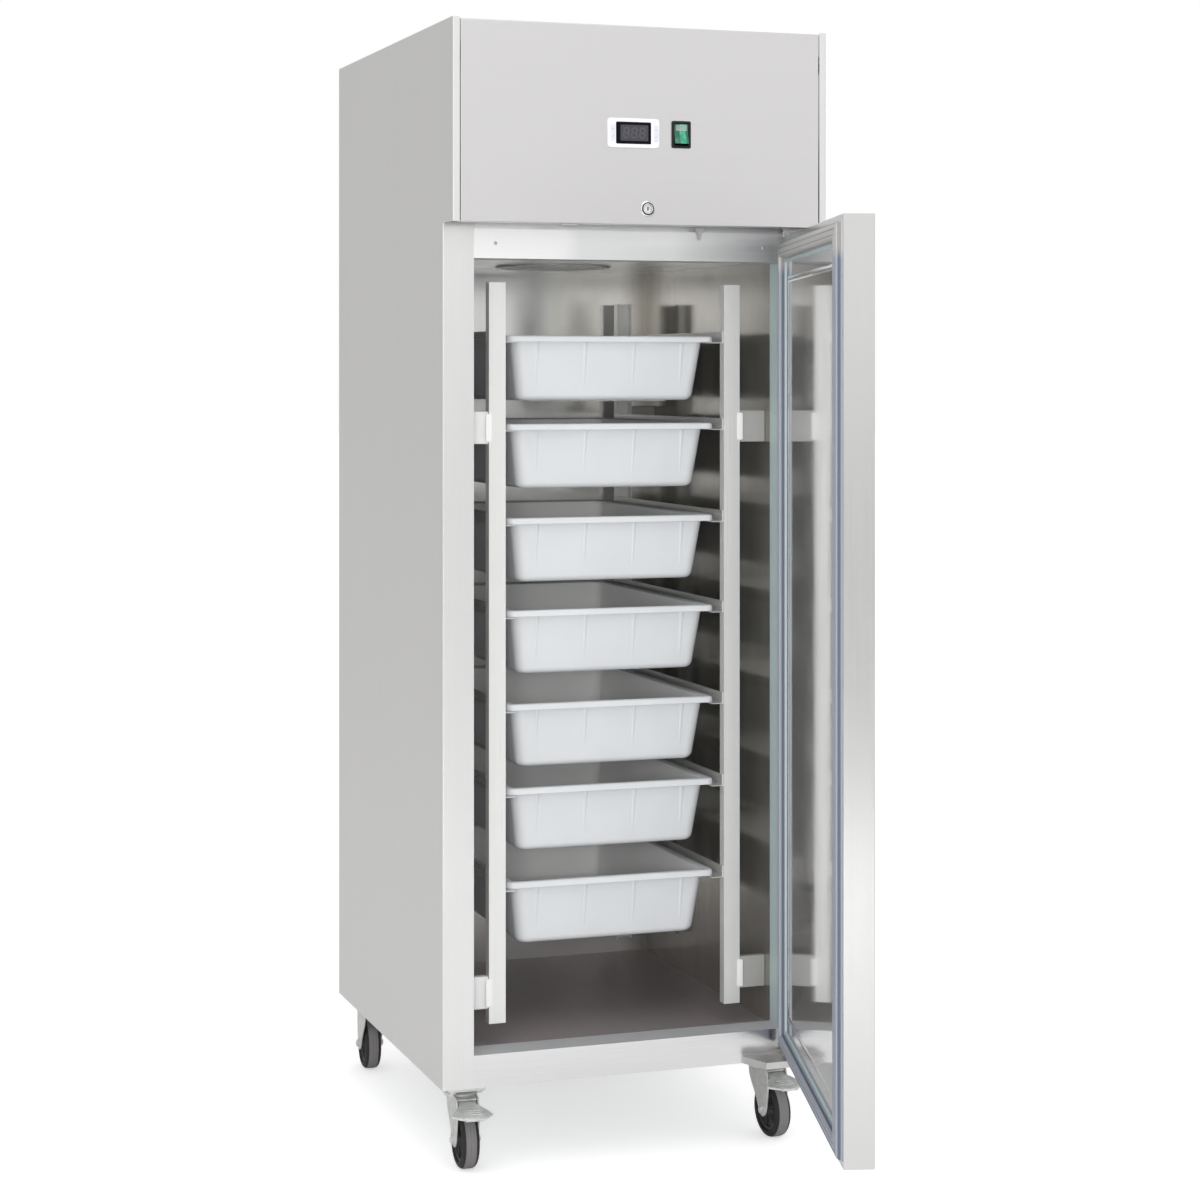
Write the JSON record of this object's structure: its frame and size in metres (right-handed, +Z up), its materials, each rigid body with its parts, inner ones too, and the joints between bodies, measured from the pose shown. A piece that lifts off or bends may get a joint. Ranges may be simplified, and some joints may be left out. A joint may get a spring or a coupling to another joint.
{
  "type": "commercial fish refrigerator",
  "caption": "Upright stainless refrigerator on castors with a solid hinged door, a cooling unit in the head and a rack of pull-out trays for chilled fish.",
  "frame": {"origin": "on the floor, under the middle of the whole refrigerator's box with its door open as pictured", "axes": "+Z up, +X to the right seen from the front, +Y from the front to the back"},
  "size_m": [0.7, 1.48, 2.01],
  "materials": {
    "side_steel": "satin",
    "front_steel": "satin",
    "liner_steel": "polished",
    "back_steel": "satin",
    "breaker_plastic": "satin",
    "foam": "matte",
    "compressor_black": "satin",
    "coil_metal": "satin",
    "galvanised": "satin",
    "fan_black": "satin",
    "copper": "satin",
    "control_white": "satin",
    "display_dark": "gloss",
    "switch_black": "satin",
    "rocker_green": "gloss",
    "chrome": "polished",
    "gasket_rubber": "satin",
    "pull_steel": "satin",
    "bush_plastic": "satin",
    "hinge_steel": "satin",
    "post_steel": "satin",
    "bracket_plastic": "satin",
    "runner_steel": "satin",
    "tray_plastic": "satin",
    "castor_zinc": "satin",
    "tyre": "matte"
  },
  "bodies": {
    "cabinet": {"left_side_panel": "side_steel", "right_side_panel": "side_steel", "back_panel": "back_steel", "base_panel": "back_steel", "top_rail": "front_steel", "sill_rail": "front_steel", "breaker_frame": "breaker_plastic", "liner_walls": "liner_steel", "liner_ceiling": "liner_steel", "liner_floor": "liner_steel", "foam_insulation": "foam", "unit_deck": "back_steel", "rear_grille": "back_steel", "fascia_panel": "front_steel", "compressor": "compressor_black", "condenser_coil": "coil_metal", "condenser_fan_shroud": "galvanised", "refrigerant_pipes": "copper", "electrical_box": "galvanised", "evaporator_housing": "galvanised", "ceiling_fan_guard": "fan_black", "controller_bezel": "control_white", "display_window": "display_dark", "switch_bezel": "switch_black", "lock_bezel": "chrome", "hinge_brackets": "hinge_steel", "rack_posts": "post_steel", "post_brackets": "bracket_plastic", "tray_runners": "runner_steel", "castor_plates": "galvanised"},
    "door": {"door_outer_skin": "front_steel", "door_edge_frame": "front_steel", "door_inner_skin": "liner_steel", "door_foam": "foam", "door_gasket": "gasket_rubber", "door_handle": "pull_steel", "door_bushes": "bush_plastic"},
    "tray_1": {"tray_1": "tray_plastic"},
    "tray_2": {"tray_2": "tray_plastic"},
    "tray_3": {"tray_3": "tray_plastic"},
    "tray_4": {"tray_4": "tray_plastic"},
    "tray_5": {"tray_5": "tray_plastic"},
    "tray_6": {"tray_6": "tray_plastic"},
    "tray_7": {"tray_7": "tray_plastic"},
    "castor_front_left": {"castor_fork_front_left": "castor_zinc"},
    "wheel_front_left": {"castor_wheel_front_left": "tyre"},
    "pedal_front_left": {"brake_pedal_front_left": "castor_zinc"},
    "castor_front_right": {"castor_fork_front_right": "castor_zinc"},
    "wheel_front_right": {"castor_wheel_front_right": "tyre"},
    "pedal_front_right": {"brake_pedal_front_right": "castor_zinc"},
    "castor_rear_left": {"castor_fork_rear_left": "castor_zinc"},
    "wheel_rear_left": {"castor_wheel_rear_left": "tyre"},
    "castor_rear_right": {"castor_fork_rear_right": "castor_zinc"},
    "wheel_rear_right": {"castor_wheel_rear_right": "tyre"},
    "rocker": {"switch_rocker": "rocker_green"},
    "key_left": {"controller_key_left": "control_white"},
    "key_right": {"controller_key_right": "control_white"},
    "lock": {"lock_cylinder": "chrome"},
    "condenser_fan": {"condenser_fan_blade": "fan_black"},
    "evaporator_fan": {"evaporator_fan_blade": "fan_black"}
  },
  "joints": [
    {"name": "door_hinge", "type": "hinge", "parent": "cabinet", "child": "door", "pos_m": [0.316, -0.09937, 0.171], "axis": [0, 0, 1], "range_deg": [-74, 36]},
    {"name": "tray_1_slide", "type": "slide", "parent": "cabinet", "child": "tray_1", "axis": [0, -1, 0], "range_m": [0, 0.38]},
    {"name": "tray_2_slide", "type": "slide", "parent": "cabinet", "child": "tray_2", "axis": [0, -1, 0], "range_m": [0, 0.38]},
    {"name": "tray_3_slide", "type": "slide", "parent": "cabinet", "child": "tray_3", "axis": [0, -1, 0], "range_m": [0, 0.38]},
    {"name": "tray_4_slide", "type": "slide", "parent": "cabinet", "child": "tray_4", "axis": [0, -1, 0], "range_m": [0, 0.38]},
    {"name": "tray_5_slide", "type": "slide", "parent": "cabinet", "child": "tray_5", "axis": [0, -1, 0], "range_m": [0, 0.38]},
    {"name": "tray_6_slide", "type": "slide", "parent": "cabinet", "child": "tray_6", "axis": [0, -1, 0], "range_m": [0, 0.38]},
    {"name": "tray_7_slide", "type": "slide", "parent": "cabinet", "child": "tray_7", "axis": [0, -1, 0], "range_m": [0, 0.38]},
    {"name": "castor_front_left_swivel", "type": "hinge", "parent": "cabinet", "child": "castor_front_left", "pos_m": [-0.292, 0.03663, 0.129], "axis": [0, 0, 1], "continuous": true},
    {"name": "wheel_front_left_spin", "type": "hinge", "parent": "castor_front_left", "child": "wheel_front_left", "pos_m": [-0.29378, 0.00267, 0.05], "axis": [0.9986, -0.0523, 0], "continuous": true},
    {"name": "pedal_front_left_press", "type": "hinge", "parent": "castor_front_left", "child": "pedal_front_left", "pos_m": [-0.29409, -0.00332, 0.112], "axis": [0.9986, -0.0523, 0], "range_deg": [0, 12]},
    {"name": "castor_front_right_swivel", "type": "hinge", "parent": "cabinet", "child": "castor_front_right", "pos_m": [0.292, 0.03663, 0.129], "axis": [0, 0, 1], "continuous": true},
    {"name": "wheel_front_right_spin", "type": "hinge", "parent": "castor_front_right", "child": "wheel_front_right", "pos_m": [0.29378, 0.00267, 0.05], "axis": [0.9986, 0.0523, 0], "continuous": true},
    {"name": "pedal_front_right_press", "type": "hinge", "parent": "castor_front_right", "child": "pedal_front_right", "pos_m": [0.29409, -0.00332, 0.112], "axis": [0.9986, 0.0523, 0], "range_deg": [0, 12]},
    {"name": "castor_rear_left_swivel", "type": "hinge", "parent": "cabinet", "child": "castor_rear_left", "pos_m": [-0.292, 0.65563, 0.129], "axis": [0, 0, 1], "continuous": true},
    {"name": "wheel_rear_left_spin", "type": "hinge", "parent": "castor_rear_left", "child": "wheel_rear_left", "pos_m": [-0.28963, 0.68954, 0.05], "axis": [-0.9976, 0.0698, 0], "continuous": true},
    {"name": "castor_rear_right_swivel", "type": "hinge", "parent": "cabinet", "child": "castor_rear_right", "pos_m": [0.292, 0.65563, 0.129], "axis": [0, 0, 1], "continuous": true},
    {"name": "wheel_rear_right_spin", "type": "hinge", "parent": "castor_rear_right", "child": "wheel_rear_right", "pos_m": [0.29849, 0.689, 0.05], "axis": [-0.9816, 0.1908, 0], "continuous": true},
    {"name": "rocker_switch", "type": "hinge", "parent": "cabinet", "child": "rocker", "pos_m": [0.07, -0.10537, 1.819], "axis": [1, 0, 0], "range_deg": [0, 16]},
    {"name": "key_left_press", "type": "slide", "parent": "cabinet", "child": "key_left", "axis": [0, 1, 0], "range_m": [0, 0.0008], "stiffness_N_per_m": 400},
    {"name": "key_right_press", "type": "slide", "parent": "cabinet", "child": "key_right", "axis": [0, 1, 0], "range_m": [0, 0.0008], "stiffness_N_per_m": 400},
    {"name": "lock_turn", "type": "hinge", "parent": "cabinet", "child": "lock", "pos_m": [0.007, -0.09037, 1.687], "axis": [0, 1, 0], "range_deg": [0, 90]},
    {"name": "condenser_fan_spin", "type": "hinge", "parent": "cabinet", "child": "condenser_fan", "pos_m": [-0.13, 0.04263, 1.814], "axis": [0, 1, 0], "continuous": true},
    {"name": "evaporator_fan_spin", "type": "hinge", "parent": "cabinet", "child": "evaporator_fan", "pos_m": [0, 0.39263, 1.655], "axis": [0, 0, 1], "continuous": true}
  ]
}
